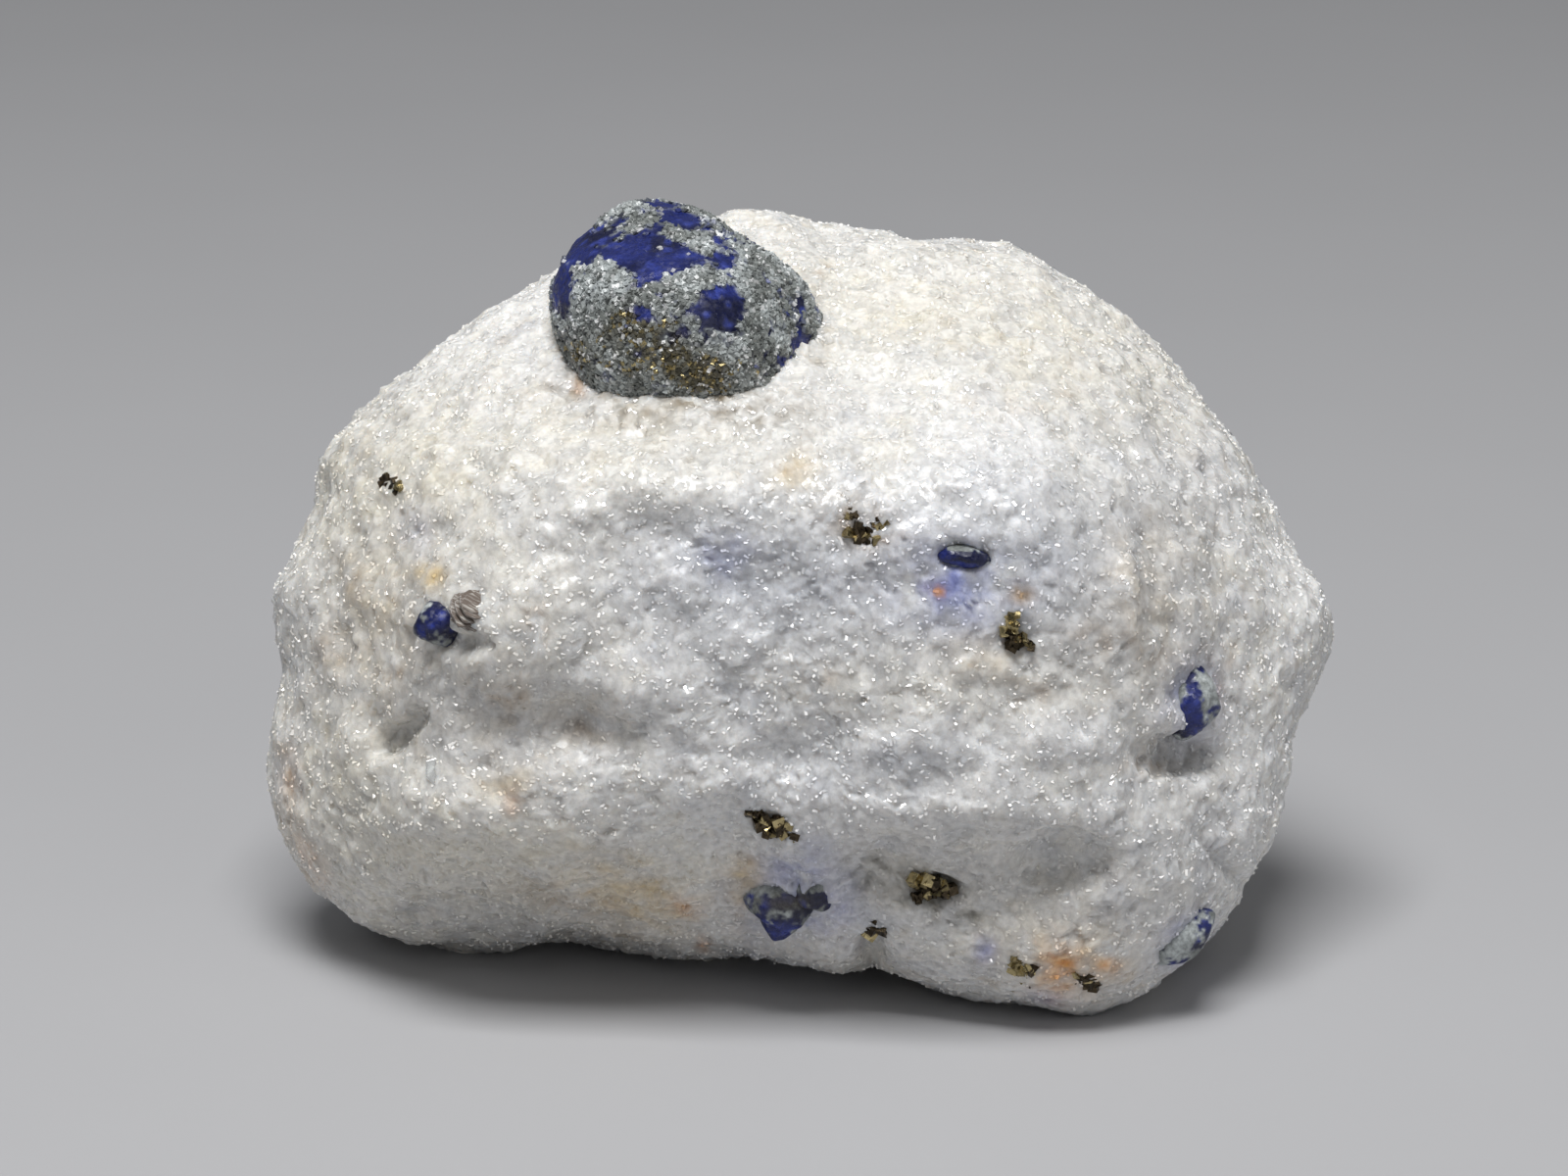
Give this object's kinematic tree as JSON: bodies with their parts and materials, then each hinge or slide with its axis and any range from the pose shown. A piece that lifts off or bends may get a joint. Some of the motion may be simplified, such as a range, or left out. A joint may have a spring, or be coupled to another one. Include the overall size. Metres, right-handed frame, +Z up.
{
  "type": "mineral specimen",
  "caption": "Rounded deep-blue lazurite crystal standing out of a lump of granular white marble, with small blue grains, pyrite and mica in it.",
  "frame": {"origin": "middle of the bounding box at the flat base the stone rests on", "axes": "+X along the longest side, to the right as seen from the front, +Y towards the back, +Z up"},
  "size_m": [0.0814, 0.0476, 0.0583],
  "materials": {
    "marble": "satin",
    "lazurite": "satin",
    "mica": "gloss",
    "bright_mica": "polished",
    "pyrite": "gloss",
    "dark_pyrite": "gloss"
  },
  "bodies": {
    "root": {"marble_matrix": "marble", "lazurite_crystal": "lazurite", "lazurite_grain_left": "lazurite", "mica_book_left": "mica", "lazurite_grain_centre": "lazurite", "lazurite_grain_right": "lazurite", "lazurite_grain_lower": "lazurite", "lazurite_grain_edge": "lazurite", "mica_flake_bright": "bright_mica", "pyrite_specks_left": "pyrite", "pyrite_cluster_upper": "pyrite", "pyrite_cluster_centre": "pyrite", "pyrite_cluster_ledge": "pyrite", "pyrite_cluster_hollow": "pyrite", "pyrite_grain_dark": "dark_pyrite", "pyrite_cluster_base": "pyrite", "pyrite_cluster_base_right": "pyrite"}
  },
  "joints": []
}
